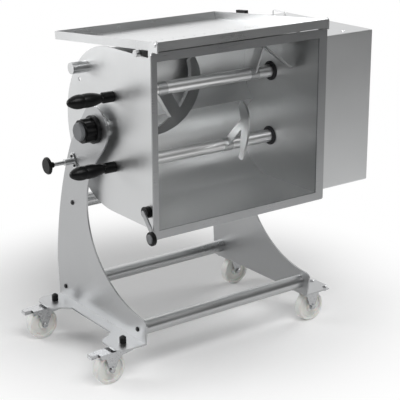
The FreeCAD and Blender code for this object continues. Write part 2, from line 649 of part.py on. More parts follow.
# Studs on the left end plate: the tilt stop, and a rest for the opened lid on each side
stud_sizes = {"stop_y": 80, "stop_above": 168, "stop_radius": 17, "stop_length": 53, "lid_stop_y": -203,
              "lid_stop_radius": 10, "lid_stop_length": 16}
d.add(stud_sizes)
studs = [rod("tilt_stop", (end_plate_x, d.stop_y, d.pivot_height + d.stop_above), "-X", d.stop_radius,
             d.stop_length)]

# Shafts with their paddles: each paddle is a crescent cut from an inclined plate, on an arm and a short sleeve.
# The plate's axis is the angle about the shaft at which it crosses its own middle plane. Arm and middle are the
# angles of the arm and of the crescent's middle, and half is half its arc. An aside plate crosses the shaft's axis
# that far from its hub, on an arm of its own
shaft_sizes = {"shaft_end_gap": 3, "pull_depth": 26, "pull_clearance": 0.1, "shaft_past_gear": 4,
               "paddle_radius": 130, "paddle_sheet": 6, "crescent_tip": 112, "crescent_root": 90,
               "arm_half": 17, "arm_overlap": 12, "sleeve_wall": 1, "sleeve_half": 16, "plate_reach": 300,
               "gear_x": 19, "gear_width": 22, "bearing_width": 12, "drive_sheet": 6}
d.add(shaft_sizes)
paddle_sizes = {"long_from_left": 161, "long_slope": 61, "long_axis": 264, "long_arm": 288,
                "long_middle": 317, "long_half": 68, "far_from_right": 74, "far_slope": 52.4,
                "far_axis": 195, "far_arm": 113, "far_aside": 134, "far_middle": 113, "far_half": 52,
                "near_from_right": 175, "near_slope": -27, "near_axis": 151, "near_arm": 128,
                "near_middle": 139, "near_half": 47, "back_from_left": 91, "back_slope": 27,
                "back_axis": 350, "back_arm": 352, "back_middle": 354, "back_half": 52}
d.add(paddle_sizes)
gear_start = drive_x + d.gear_x
shaft_start = wall_left + d.shaft_end_gap
shaft_length = gear_start + d.gear_width + d.shaft_past_gear - shaft_start
long_x, back_x = wall_left + d.long_from_left, wall_left + d.back_from_left
far_x, near_x = wall_right - d.far_from_right, wall_right - d.near_from_right
paddles = {
    "upper": {"long": (long_x, d.long_slope, d.long_axis, d.long_arm, d.long_middle, d.long_half),
              "far": (far_x, d.far_slope, d.far_axis, d.far_arm, d.far_middle, d.far_half, d.far_aside)},
    "lower": {"near": (near_x, d.near_slope, d.near_axis, d.near_arm, d.near_middle, d.near_half),
              "back": (back_x, d.back_slope, d.back_axis, d.back_arm, d.back_middle, d.back_half)}}


def turned(item, angle):
    item.Placement = FreeCAD.Placement(FreeCAD.Vector(), FreeCAD.Rotation(FreeCAD.Vector(1, 0, 0), 1))
    bind(item, "Placement.Rotation.Angle", angle)
    return item


def paddle(name, z, x, slope, axis, arm_angle, middle, half, aside=None):
    tip_low = polar(zero, zero, d.paddle_radius, -half)
    tip_in_low = polar(zero, zero, d.crescent_tip, -half)
    tip_high = polar(zero, zero, d.paddle_radius, half)
    tip_in_high = polar(zero, zero, d.crescent_tip, half)
    rise = d.crescent_root - tip_in_low[0]
    inner = (tip_in_high[1] * tip_in_high[1] + rise * rise) / (2 * rise)
    crescent = new_body("crescent_" + name)
    pad(crescent, "YZ_Plane",
        [[tip_low + (d.paddle_radius, 1), (d.paddle_radius, 0, d.paddle_radius, 1), tip_high,
          tip_in_high + (inner, -1), tip_in_low]], 2 * d.plate_reach, -d.plate_reach)
    thick = d.paddle_sheet if aside else 2 * d.plate_reach
    arm = new_body("arm_" + name)
    end = d.crescent_root + d.arm_overlap
    pad(arm, "YZ_Plane", [[(0, -d.arm_half), (end, -d.arm_half), (end, d.arm_half), (0, d.arm_half)]],
        thick, -thick / 2)
    turned(crescent, middle - axis)
    turned(arm, arm_angle - axis)
    flat = crescent if aside else fuse("flat_" + name, [crescent, arm])
    slab = doc.addObject("Part::Box", "slab_" + name)
    bind(slab, "Length", d.paddle_sheet)
    bind(slab, "Width", 2 * d.plate_reach)
    bind(slab, "Height", 2 * d.plate_reach)
    slab.Placement = FreeCAD.Placement(FreeCAD.Vector(), FreeCAD.Rotation(FreeCAD.Vector(0, 1, 0), 1))
    bind(slab, "Placement.Rotation.Angle", slope)
    bind(slab, "Placement.Base.x",
         (aside or 0) - d.plate_reach * sine(slope) - d.paddle_sheet / 2 * cosine(slope))
    bind(slab, "Placement.Base.y", -d.plate_reach)
    bind(slab, "Placement.Base.z", -d.plate_reach * cosine(slope) + d.paddle_sheet / 2 * sine(slope))
    blade = common("blade_" + name, flat, slab)
    sleeve_radius = d.shaft_radius + d.sleeve_wall
    sleeve = rod("sleeve_" + name, (-d.sleeve_half, 0, 0), "X", sleeve_radius, 2 * d.sleeve_half)
    bore = rod("bore_" + name, (-d.plate_reach, 0, 0), "X", d.shaft_radius + 0.02, 2 * d.plate_reach)
    solid = fuse("solid_" + name, [blade, sleeve] + ([arm] if aside else []))
    whole = turned(cut("paddle_" + name, solid, bore), axis)
    return place(whole, (x, d.shaft_y, z))


for name, set_of_paddles in paddles.items():
    z = shaft_z[name]
    node(lathe(name + "_shaft",
               [(d.pull_depth, 0), (shaft_length, 0), (shaft_length, d.shaft_radius - 1),
                (shaft_length - 1, d.shaft_radius), (0, d.shaft_radius),
                (0, d.pull_pin_radius + d.pull_clearance),
                (d.pull_depth, d.pull_pin_radius + d.pull_clearance)],
               (shaft_start, d.shaft_y, z), "X"))
    node(group(name + "_paddles", [paddle(key, z, *sizes) for key, sizes in set_of_paddles.items()]))

# Spur gears behind the drive plate: two equal wheels turn the shafts against each other, a pinion drives them
gear_sizes = {"addendum": 0.85, "dedendum": 1.2, "tooth_share": 0.46, "flank": 0.62, "bore_gap": 0.02,
              "motor_radius": 50, "motor_length": 118, "motor_front": 50, "motor_band": 12, "motor_step": 3,
              "motor_round": 6, "motor_nose": 19.5, "motor_nose_length": 8, "motor_shaft": 7.98}
d.add(gear_sizes)
teeth = 52
pinion_teeth = 13
module = 2 * d.shaft_half / teeth
pinion_y = d.shaft_y + module * (teeth + pinion_teeth) / 2


def gear(name, count, y, z, phase, bore):
    pitch = module * count / 2
    root_radius = pitch - d.dedendum * module
    body = new_body(name)
    pad(body, "YZ_Plane", [], d.gear_width, 0, [(0, 0, root_radius + 0.3)] + ([(0, 0, bore)] if bore else []))
    step = 360 / count
    wide = step * (1 - d.tooth_share * d.flank) / 2
    narrow = step * d.tooth_share * d.flank / 2
    tooth = [polar(zero, zero, root_radius - 0.5, size(phase) - wide),
             polar(zero, zero, pitch + d.addendum * module, size(phase) - narrow),
             polar(zero, zero, pitch + d.addendum * module, size(phase) + narrow),
             polar(zero, zero, root_radius - 0.5, size(phase) + wide)]
    feature = pad(body, "YZ_Plane", [tooth], d.gear_width)
    pattern = body.newObject("PartDesign::PolarPattern", name + "_teeth")
    pattern.Originals = [feature]
    axis = [item for item in body.Origin.OriginFeatures if item.Role == "X_Axis"][0]
    pattern.Axis = (axis, [""])
    pattern.Angle = 360
    pattern.Occurrences = count
    body.Tip = pattern
    return node(place(body, (gear_start, y, z)))


gear("upper_gear", teeth, d.shaft_y, top, 0, d.shaft_radius + d.bore_gap)
gear("lower_gear", teeth, d.shaft_y, low, 180 / teeth, d.shaft_radius + d.bore_gap)
gear("motor_pinion", pinion_teeth, pinion_y, top, 0, size(8))

# Drive frame: the plate behind the leg carries bearings, motor bracket, hood rails and the tub spacers
hood_sizes = {"hood_front": -274, "hood_back": 130, "hood_low": 237, "hood_high": 239, "hood_length": 202,
              "hood_sheet": 2, "hood_corner": 4, "post_radius": 6, "post_half_y": 45, "post_half_z": 98,
              "bracket_x": 48, "bracket_sheet": 6, "rail": 12, "bearing_radius": 30, "spacer_radius": 8,
              "spacer_front_y": -215, "spacer_z": 190, "hood_screw_x": 110, "hood_screw_y": -242}
d.add(hood_sizes)
hood_z = (d.pivot_height - d.hood_low, d.pivot_height + d.hood_high)
hood_x = drive_x + d.drive_sheet
hood_outer = drive_x + d.hood_length
inner = d.hood_sheet + 0.3
frame_loop = [(d.hood_front, hood_z[0]), (d.hood_back, hood_z[0]), (d.hood_back, hood_z[1]),
              (d.hood_front, hood_z[1])]
drive_plate = new_body("drive_plate")
spacer_places = [(d.spacer_front_y, d.pivot_height + i * d.spacer_z) for i in (-1, 0, 1)] \
    + [(10, d.pivot_height + d.spacer_z)]
pad(drive_plate, "YZ_Plane", [frame_loop], d.drive_sheet, drive_x,
    [(d.shaft_y, z, d.shaft_radius + 0.5) for z in shaft_z.values()])
post_y = pinion_y - 2
posts = [(post_y + i * d.post_half_y, top + j * d.post_half_z) for i in (-1, 1) for j in (-1, 1)]
pieces = [drive_plate]
for i, (y, z) in enumerate(posts):
    pieces.append(rod("post_%d" % i, (hood_x - 1, y, z), "X", d.post_radius, d.bracket_x + 2))
bracket = new_body("motor_bracket")
edge = d.post_radius + 4
pad(bracket, "YZ_Plane", [[(posts[0][0] - edge, posts[0][1] - edge), (posts[2][0] + edge, posts[0][1] - edge),
                           (posts[2][0] + edge, posts[1][1] + edge), (posts[0][0] - edge, posts[1][1] + edge)]],
    d.bracket_sheet, hood_x + d.bracket_x, [(pinion_y, top, 20)])
pieces.append(bracket)
rail_y = (d.hood_screw_y - d.rail / 2, d.hood_back - inner - d.rail - 8)
rail_z = (hood_z[0] + inner, hood_z[1] - inner - d.rail)
rail_long = d.hood_screw_x - d.drive_sheet + d.rail
for i, y in enumerate(rail_y):
    for j, z in enumerate(rail_z):
        pieces.append(block("rail_%d_%d" % (i, j), (hood_x - 1, y, z), (rail_long + 1, d.rail, d.rail)))
node(fuse("drive_frame", pieces))
spacers = [rod("spacer_%d" % i, (tub_right_x, y, z), "X", d.spacer_radius, drive_x - tub_right_x)
           for i, (y, z) in enumerate(spacer_places)]
node(group("tub_spacers", spacers))
bearings = [lathe("bearing_" + name,
                  [(0, d.shaft_radius + d.fit_clearance), (d.bearing_width, d.shaft_radius + d.fit_clearance),
                   (d.bearing_width, d.bearing_radius * 0.8), (4, d.bearing_radius * 0.8),
                   (4, d.bearing_radius), (0, d.bearing_radius)], (hood_x, d.shaft_y, z), "X")
            for name, z in shaft_z.items()]
node(group("shaft_bearings", bearings))
seals = [lathe("seal_" + name,
               [(0, d.shaft_radius + d.fit_clearance), (d.seal_height, d.shaft_radius + d.fit_clearance),
                (d.seal_height, d.seal_radius * 0.75), (d.seal_height * 0.4, d.seal_radius),
                (0, d.seal_radius)],
               (wall_right, d.shaft_y, z), "-X") for name, z in shaft_z.items()]
node(group("shaft_seals", seals))
motor_x = hood_x + d.bracket_x + d.bracket_sheet
shaft_tip = gear_start + 1 - motor_x
node(lathe("gearmotor",
           [(shaft_tip, 0), (d.motor_length, 0), (d.motor_length, d.motor_radius - d.motor_round),
            (d.motor_length - d.motor_round, d.motor_radius), (d.motor_front + d.motor_band, d.motor_radius),
            (d.motor_front + d.motor_band - 4, d.motor_radius - d.motor_step),
            (d.motor_front + 4, d.motor_radius - d.motor_step), (d.motor_front, d.motor_radius),
            (0, d.motor_radius), (0, d.motor_nose), (-d.motor_nose_length, d.motor_nose),
            (-d.motor_nose_length, d.motor_shaft), (shaft_tip, d.motor_shaft)],
           (motor_x, pinion_y, top), "X"))

# Hood: a box of sheet open towards the drive plate, with screws into the rails, wire loop and cable gland
hood = new_body("hood_shell")
k = d.hood_corner
y0, y1, z0, z1 = d.hood_front, d.hood_back, hood_z[0], hood_z[1]
g = d.hood_sheet
hood_loop = [(y0 + k, z0), (y1 - k, z0, k, 1), (y1, z0 + k), (y1, z1 - k, k, 1), (y1 - k, z1),
             (y0 + k, z1, k, 1), (y0, z1 - k), (y0, z0 + k, k, 1)]
inner_loop = [(y0 + g, z0 + g), (y1 - g, z0 + g), (y1 - g, z1 - g), (y0 + g, z1 - g)]
pad(hood, "YZ_Plane", [hood_loop, inner_loop], hood_outer - hood_x - g, hood_x)
pad(hood, "YZ_Plane", [hood_loop], g, hood_outer - g)
screw_x = drive_x + d.hood_screw_x
hood_screws = []
holes = []
for i, y in enumerate(rail_y):
    for face, z, axis in (("top", z1, "-Z"), ("base", z0, "Z")):
        spot = y + d.rail / 2
        hood_screws.append(lathe("hood_screw_%s_%d" % (face, i),
                                 [(-3, 0), (g + 0.2, 0), (g + 0.2, d.small_screw_radius),
                                  (0, d.small_screw_radius), (0, 5.5), (-3, 4)], (screw_x, spot, z), axis))
        holes.append(rod("hood_hole_%s_%d" % (face, i), (screw_x, spot, z0 - 5 if face == "base" else z1 - 5), "Z",
                         d.small_screw_radius + d.hole_clearance, 10))
gland_sizes = {"gland_x": 150, "gland_above": 40, "gland_radius": 11, "gland_length": 20, "cord_radius": 5,
               "loop_x": 129, "loop_front": 50, "loop_span": 60, "loop_height": 18, "loop_wire": 2}
d.add(gland_sizes)
gland_at = (drive_x + d.gland_x, y1, z0 + d.gland_above)
holes.append(rod("gland_hole", (gland_at[0], gland_at[1] - 5, gland_at[2]), "Y", 8.2, 10))
node(cut("motor_hood", hood, fuse("hood_holes", holes)))
node(group("hood_screws", hood_screws))
node(lathe("cord_gland", [(-8, d.cord_radius), (d.gland_length, d.cord_radius),
                          (d.gland_length, d.gland_radius - 3), (d.gland_length - 8, d.gland_radius - 1),
                          (5, d.gland_radius - 1), (5, d.gland_radius), (0, d.gland_radius), (0, 8), (-8, 8)],
           gland_at, "Y"))


def bow(name, start, span, reach, wire, bend, rotation, at):
    """A bent round bar: two legs along Y and a straight between them along X."""
    body = new_body(name)
    path = sketch_on(body, "XY_Plane")
    corners = [(start, 0), (start, reach - bend), (start + bend, reach), (start + span - bend, reach),
               (start + span, reach - bend), (start + span, 0)]
    points = [FreeCAD.Vector(size(u).number, size(v).number, 0) for u, v in corners]
    lines = []
    for a, b in ((0, 1), (2, 3), (4, 5)):
        lines.append(path.addGeometry(Part.LineSegment(points[a], points[b]), False))
    for a in (1, 3):
        center = FreeCAD.Vector(points[2 if a == 1 else 3].x, points[1].y, 0)
        circle = Part.Circle(center, FreeCAD.Vector(0, 0, 1), size(bend).number)
        begin = math.pi / 2 if a == 1 else 0
        lines.append(path.addGeometry(Part.ArcOfCircle(circle, begin, begin + math.pi / 2), False))
    left, bar, right, first, second = lines
    for one, p, two, q in ((left, 2, first, 2), (first, 1, bar, 1), (bar, 2, second, 2), (second, 1, right, 1)):
        path.addConstraint(Sketcher.Constraint("Coincident", one, p, two, q))
    for geometry, position, corner in ((left, 1, 0), (left, 2, 1), (bar, 1, 2), (bar, 2, 3), (right, 1, 4),
                                       (right, 2, 5)):
        fix_point(path, geometry, position, *corners[corner])
    for geometry in (first, second):
        fix_radius(path, geometry, size(bend))
    profile = sketch_on(body, "XZ_Plane")
    draw_circle(profile, start, 0, wire)
    pipe = body.newObject("PartDesign::AdditivePipe", name + "_pipe")
    pipe.Profile = profile
    pipe.Spine = (path, ["Edge1"] + ["Edge%d" % i for i in range(2, 6)])
    body.Tip = pipe
    return place(body, at, rotation)


upright = FreeCAD.Rotation(FreeCAD.Vector(1, 0, 0), 90)
node(bow("wire_loop", size(0), d.loop_span, d.loop_height, d.loop_wire, size(7),
         upright.multiply(FreeCAD.Rotation()), (drive_x + d.loop_x, d.loop_front, z1)))
nodes[-1].Placement = FreeCAD.Placement(
    FreeCAD.Vector(), FreeCAD.Rotation(FreeCAD.Vector(0, 0, 1), 90).multiply(upright))
place(nodes[-1], (drive_x + d.loop_x, d.loop_front, z1))

# Pull handles on the shaft axes: a collar on the end plate, a sliding pin that carries the shaft, a grip
pull_sizes = {"pull_collar": 16, "pull_collar_length": 35, "grip_gap": 4, "grip_length": 110,
              "grip_radius": 19.5}
d.add(pull_sizes)
collars = []
for name, z in shaft_z.items():
    collars.append(lathe("collar_" + name,
                         [(0, d.pull_pin_radius + d.fit_clearance),
                          (d.pull_collar_length, d.pull_pin_radius + d.fit_clearance),
                          (d.pull_collar_length, d.pull_collar - 2), (d.pull_collar_length - 2, d.pull_collar),
                          (0, d.pull_collar)], (end_plate_x, d.shaft_y, z), "-X"))
    grip_x = end_plate_x - d.pull_collar_length - d.grip_gap
    node(rod("pull_pin_" + name, (grip_x - d.grip_length / 2, d.shaft_y, z), "X", d.pull_pin_radius,
             shaft_start + d.pull_depth - 2 - grip_x + d.grip_length / 2))
    node(lathe("pull_grip_" + name,
               [(0, d.pull_pin_radius + d.bore_gap), (0, d.grip_radius * 0.62, d.grip_length * 1.1, -1),
                (d.grip_length * 0.55, d.grip_radius, d.grip_length * 0.5, -1),
                (d.grip_length * 0.92, d.grip_radius * 0.62, d.grip_radius * 0.75, -1), (d.grip_length, 0),
                (d.grip_length / 2 + 0.2, 0), (d.grip_length / 2 + 0.2, d.pull_pin_radius + d.bore_gap)],
               (grip_x, d.shaft_y, z), "-X"))
node(group("pull_collars", collars))

# Tipping handle: a boss on the end plate, a flat arm forward and a capped knob at its end
handle_sizes = {"boss_y": -236, "boss_drop": 194, "boss_radius": 17, "boss_length": 16.5, "handle_y": -287,
                "handle_drop": 254, "handle_radius": 20, "handle_depth": 12, "arm_width": 15,
                "arm_sheet": 5, "handle_cap": 13.5, "handle_cap_height": 4}
d.add(handle_sizes)
boss = (d.boss_y, d.pivot_height - d.boss_drop)
grip = (d.handle_y, d.pivot_height - d.handle_drop)
arm_x = end_plate_x - d.boss_length - d.arm_sheet
long = root((grip[0] - boss[0]) * (grip[0] - boss[0]) + (grip[1] - boss[1]) * (grip[1] - boss[1]))
w = d.arm_width / 2
arm = new_body("handle_arm")
ux, uz = (grip[0] - boss[0]) / long, (grip[1] - boss[1]) / long
pad(arm, "YZ_Plane",
    [[(boss[0] - uz * w, boss[1] + ux * w, w, 1), (boss[0] - ux * w, boss[1] - uz * w, w, 1),
      (boss[0] + uz * w, boss[1] - ux * w), (grip[0] + uz * w, grip[1] - ux * w, w, 1),
      (grip[0] + ux * w, grip[1] + uz * w, w, 1), (grip[0] - uz * w, grip[1] + ux * w)]], d.arm_sheet, arm_x)
node(arm)
node(group("handle_ends", [
    ring("handle_boss", (end_plate_x, boss[0], boss[1]), "-X", 0.001, d.boss_radius, d.boss_length),
    lathe("handle_knob", [(0, 0), (d.handle_depth, 0), (d.handle_depth, d.handle_radius - 2),
                          (d.handle_depth - 2, d.handle_radius), (2, d.handle_radius),
                          (0, d.handle_radius - 2)], (arm_x, grip[0], grip[1]), "-X")]))
node(lathe("handle_cap", [(0, 0), (d.handle_cap_height, 0), (d.handle_cap_height, d.handle_cap - 2),
                          (d.handle_cap_height - 2, d.handle_cap), (0, d.handle_cap)],
           (arm_x - d.handle_depth, grip[0], grip[1]), "-X"))

# Lid: a sheet pan on two ears, tilted back on its rests when open; its own frame starts at the hinge line
lid_sizes = {"hinge_y": -289, "hinge_over_rim": 24, "lid_tilt": 4.9, "lid_over_left": 7,
             "lid_over_right": 16, "lid_front": 9.5, "lid_depth": 552, "lid_height": 24.5, "lid_floor": 18,
             "lid_sheet": 2, "hinge_radius": 4, "ear_radius": 11, "ear_sheet": 4, "ear_gap": 0.3,
             "ear_drop": 46, "ear_depth": 20, "lid_hole": 2.8, "lid_hole_pitch": 37.5,
             "lid_hole_depth": 200, "lid_hole_from": 156, "lid_hole_count": 9}
d.add(lid_sizes)
lid_axis_z = rim_z[1] + d.hinge_over_rim


def lid_place(item):
    item.Placement = FreeCAD.Placement(FreeCAD.Vector(), FreeCAD.Rotation(FreeCAD.Vector(1, 0, 0), 1))
    place(item, (0, d.hinge_y, lid_axis_z))
    bind(item, "Placement.Rotation.Angle", -d.lid_tilt)
    return item


lid_shell = new_body("lid_shell")
x0, x1 = wall_left - d.lid_over_left, wall_right + d.lid_over_right
v0, v1 = -d.lid_front, d.lid_depth - d.lid_front
q = d.lid_sheet
floor = [(x0, v0), (x1, v0), (x1, v1), (x0, v1)]
row = [(x0 + d.lid_hole_from + i * d.lid_hole_pitch, d.lid_hole_depth, d.lid_hole)
       for i in range(int(d.lid_hole_count.number))]
pad(lid_shell, "XY_Plane", [floor], q, -d.lid_floor, row)
pad(lid_shell, "XY_Plane", [floor, [(x0 + q, v0 + q), (x1 - q, v0 + q), (x1 - q, v1 - q), (x0 + q, v1 - q)]],
    d.lid_height, -d.lid_floor)
lid_handle_sizes = {"lid_handle_from": 228, "lid_handle_span": 124, "lid_handle_reach": 50.7,
                    "lid_handle_wire": 5.5, "lid_handle_bend": 14}
d.add(lid_handle_sizes)
handle_v = d.lid_height / 2 - d.lid_floor
handle_x = x0 + d.lid_handle_from
lid_holes = [rod("lid_pin_hole", (x0 - 5, 0, 0), "X", d.hinge_radius + 0.1, x1 - x0 + 10)]
for i in (0, 1):
    lid_holes.append(rod("lid_screw_hole_%d" % i, (handle_x + i * d.lid_handle_span, v1 - 8, handle_v), "Y",
                         2.6, 12))
node(lid_place(cut("lid_pan", lid_shell, fuse("lid_holes", lid_holes))))
handle = bow("lid_bow", handle_x, d.lid_handle_span, d.lid_handle_reach, d.lid_handle_wire,
             d.lid_handle_bend, None, (0, v1, handle_v))
node(lid_place(group("lid_handle", [handle])))
lid_screws = [lathe("lid_screw_%d" % i, [(-2.5, 0), (q, 0), (q, 2.5), (0, 2.5), (0, 5), (-2.5, 3.5)],
                    (handle_x + i * d.lid_handle_span, v1 - q, handle_v), "Y") for i in (0, 1)]
node(lid_place(group("lid_screws", lid_screws)))
interlock_sizes = {"block_depth": 400, "block_length": 48, "block_width": 12, "block_height": 17,
                   "bracket_reach": 28, "block_out": 15.3}
d.add(interlock_sizes)
tongue = block("lock_tongue", (x1, d.block_depth, -6), (d.bracket_reach, d.block_length, 2))
magnet = block("lock_magnet", (x1 + d.block_out, d.block_depth, -4),
               (d.block_width, d.block_length, d.block_height))
node(lid_place(group("interlock", [tongue, magnet])))

ears = []
for name, start, away, axis in (("left", x0 - d.ear_gap, -1, "X"), ("right", x1 + d.ear_gap, 1, "-X")):
    ear = new_body("ear_" + name)
    b = plate_front
    r = d.ear_radius
    pad(ear, "YZ_Plane",
        [[(b, lid_axis_z - d.ear_drop), (b + d.ear_depth, lid_axis_z - d.ear_drop),
          (b + d.ear_depth, lid_axis_z - r), (d.hinge_y + r * 0.7, lid_axis_z + r * 0.714, r, 1),
          (d.hinge_y - r, lid_axis_z), (d.hinge_y - r, rim_z[1] + 1.5), (b, rim_z[1] + 1.5)]],
        d.ear_sheet, start - d.ear_sheet if away < 0 else start,
        [(d.hinge_y, lid_axis_z, d.hinge_radius + d.fit_clearance)])
    outer_face = start - d.ear_sheet if away < 0 else start + d.ear_sheet
    reach = d.ear_sheet + d.ear_gap + q + 4
    pin = lathe("hinge_pin_" + name, [(-3.5, 0), (reach, 0), (reach, d.hinge_radius), (0, d.hinge_radius),
                                      (0, 7), (-3.5, 5.5)], (outer_face, d.hinge_y, lid_axis_z), axis)
    ears += [ear, pin]
node(group("lid_hinges", ears))

lid_under = lid_axis_z - d.lid_floor * cosine(d.lid_tilt) \
    - (d.lid_stop_y - d.hinge_y + d.lid_floor * sine(d.lid_tilt)) * tangent(d.lid_tilt)
rest_z = lid_under - (d.lid_stop_radius + d.seat_gap) / cosine(d.lid_tilt)
studs.append(rod("lid_rest_left", (end_plate_x, d.lid_stop_y, rest_z), "-X", d.lid_stop_radius,
                 d.lid_stop_length))
node(group("studs", studs))

doc.recompute()
faults = [item.Name for item in doc.Objects if {"Invalid", "Error"} & set(item.State)]
if faults:
    raise RuntimeError("not built: " + ", ".join(faults))
os.makedirs("parts", exist_ok=True)
for item in nodes:
    if item.Shape.isNull() or not item.Shape.isValid():
        raise RuntimeError("bad shape: " + item.Label)
    item.Shape.exportStep("parts/" + item.Label + ".step")
print(len(nodes), "nodes")
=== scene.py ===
import math

import bmesh
import bpy
from mathutils import Matrix, Vector

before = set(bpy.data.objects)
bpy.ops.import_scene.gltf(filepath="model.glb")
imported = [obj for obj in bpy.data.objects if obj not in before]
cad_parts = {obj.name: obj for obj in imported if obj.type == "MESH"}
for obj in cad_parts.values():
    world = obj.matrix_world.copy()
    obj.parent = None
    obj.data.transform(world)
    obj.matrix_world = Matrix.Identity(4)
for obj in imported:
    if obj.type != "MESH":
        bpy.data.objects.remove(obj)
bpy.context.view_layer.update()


# The studio: a paper floor that shows the machine's shadow near it and glows white
# away from it, a white surround, soft boxes behind the machine at its left and
# right, at its right end and high in front, and the camera a little above the tub.
def linear(code):
    """Turns an sRGB hex colour to the linear values that Blender works in."""
    parts = [int(code[k:k + 2], 16) / 255 for k in (1, 3, 5)]
    return [p / 12.92 if p <= 0.04045 else ((p + 0.055) / 1.055) ** 2.4 for p in parts] + [1.0]


def add(tree, kind, sockets=None, **settings):
    """Adds a node. Sockets are values, or outputs of other nodes to link."""
    made = tree.nodes.new(kind)
    for name, value in settings.items():
        setattr(made, name, value)
    for name, value in (sockets or {}).items():
        if isinstance(value, bpy.types.NodeSocket):
            tree.links.new(value, made.inputs[name])
        else:
            made.inputs[name].default_value = value
    return made


def new_surface(name):
    """A new material, with its tree, its shader and the piece's own metres to draw in."""
    made = bpy.data.materials.new(name)
    made.use_nodes = True
    tree = made.node_tree
    place = add(tree, "ShaderNodeTexCoord").outputs["Object"]
    return made, tree, tree.nodes["Principled BSDF"], place


def two_tones(tree, shader, factor, dark, light):
    """Colours a surface between two sRGB hex tones, by a factor of 0 to 1."""
    tone = add(tree, "ShaderNodeMix", {"Factor": factor, "A": linear(dark), "B": linear(light)}, data_type="RGBA")
    tree.links.new(tone.outputs["Result"], shader.inputs["Base Color"])


def two_blurs(tree, shader, factor, span, rough):
    """Varies a surface's roughness between two values as a factor goes over its span."""
    blur = add(tree, "ShaderNodeMapRange", {"Value": factor, "From Min": span[0], "From Max": span[1],
                                            "To Min": rough[0], "To Max": rough[1]})
    tree.links.new(blur.outputs["Result"], shader.inputs["Roughness"])


def seen_directly(tree):
    """A light path's outputs, and 1 for the rays that see a thing: from the camera, a mirror or through glass."""
    rays = add(tree, "ShaderNodeLightPath").outputs
    seen = add(tree, "ShaderNodeMath", {0: rays["Is Camera Ray"], 1: rays["Is Glossy Ray"]}, operation="MAXIMUM")
    seen = add(tree, "ShaderNodeMath", {0: seen.outputs[0], 1: rays["Is Transmission Ray"]}, operation="MAXIMUM")
    return rays, seen.outputs[0]


FOCAL_PIXELS = 1192.76
PICTURE_PIXELS = 400
SENSOR_MM = 36
azimuth = math.radians(36.14)
pitch = math.radians(18.17)
roll = math.radians(-0.27)
ahead = Vector((math.sin(azimuth) * math.cos(pitch), math.cos(azimuth) * math.cos(pitch), -math.sin(pitch)))
across = Vector((math.cos(azimuth), -math.sin(azimuth), 0))
turned = Matrix((across, across.cross(ahead), -ahead)).transposed() @ Matrix.Rotation(roll, 3, "Z")
camera = bpy.data.objects.new("camera", bpy.data.cameras.new("camera"))
camera.matrix_world = Matrix.Translation((-2.0576, -2.8761, 1.5800)) @ turned.to_4x4()
camera.data.sensor_width = SENSOR_MM
camera.data.lens = FOCAL_PIXELS / PICTURE_PIXELS * SENSOR_MM
camera.data.clip_end = 60
bpy.context.scene.collection.objects.link(camera)
bpy.context.scene.camera = camera
bpy.context.scene.view_settings.view_transform = "Standard"

paper, tree, shader, place = new_surface("paper_floor")
fibre = add(tree, "ShaderNodeTexNoise", {"Vector": place, "Scale": 90, "Detail": 3})
two_tones(tree, shader, fibre.outputs["Fac"], "#F0F0F0", "#F4F4F4")
shader.inputs["Roughness"].default_value = 0.9
rays, seen = seen_directly(tree)
from_shade = add(tree, "ShaderNodeVectorMath", {0: place, 1: (0.08, 0.2, 0)}, operation="SUBTRACT")
away = add(tree, "ShaderNodeVectorMath", {0: from_shade.outputs[0]}, operation="LENGTH")
fade = add(tree, "ShaderNodeMapRange", {"Value": away.outputs["Value"], "From Min": 0.4, "From Max": 1.0},
           interpolation_type="SMOOTHSTEP")
depth = add(tree, "ShaderNodeSeparateXYZ", {"Vector": place})
behind = add(tree, "ShaderNodeMapRange", {"Value": depth.outputs["Y"], "From Min": -2.2, "From Max": -1.2},
             interpolation_type="SMOOTHSTEP")
behind = add(tree, "ShaderNodeMath", {0: behind.outputs[0], 1: rays["Is Camera Ray"]}, operation="MAXIMUM")
fade = add(tree, "ShaderNodeMath", {0: fade.outputs[0], 1: behind.outputs[0]}, operation="MULTIPLY")
share = add(tree, "ShaderNodeMath", {0: fade.outputs[0], 1: seen}, operation="MULTIPLY")
glow = add(tree, "ShaderNodeEmission", {"Color": linear("#FFFFFF"), "Strength": 1.0})
blend = add(tree, "ShaderNodeMixShader", {0: share.outputs[0], 1: shader.outputs[0], 2: glow.outputs[0]})
tree.links.new(blend.outputs[0], tree.nodes["Material Output"].inputs["Surface"])
shape = bmesh.new()
bmesh.ops.create_grid(shape, x_segments=4, y_segments=4, size=12)
sheet = bpy.data.meshes.new("paper_floor")
shape.to_mesh(sheet)
shape.free()
floor = bpy.data.objects.new("paper_floor", sheet)
floor.data.materials.append(paper)
bpy.context.scene.collection.objects.link(floor)

SURROUND_DIM = 0.16
world = bpy.data.worlds.new("studio")
world.use_nodes = True
bpy.context.scene.world = world
tree = world.node_tree
rays, seen = seen_directly(tree)
way = add(tree, "ShaderNodeSeparateXYZ", {"Vector": add(tree, "ShaderNodeTexCoord").outputs["Generated"]})
sweep = add(tree, "ShaderNodeMapRange", {"Value": way.outputs["Y"], "From Min": -0.35, "From Max": 0.25,
                                         "To Min": SURROUND_DIM, "To Max": 1.0}, interpolation_type="SMOOTHSTEP")
mirrored = add(tree, "ShaderNodeMix", {"Factor": rays["Is Camera Ray"], "A": sweep.outputs[0], "B": 1.0})
level = add(tree, "ShaderNodeMix", {"Factor": seen, "A": SURROUND_DIM, "B": mirrored.outputs[0]})
tree.nodes["Background"].inputs["Color"].default_value = linear("#FFFFFF")
tree.links.new(level.outputs[0], tree.nodes["Background"].inputs["Strength"])

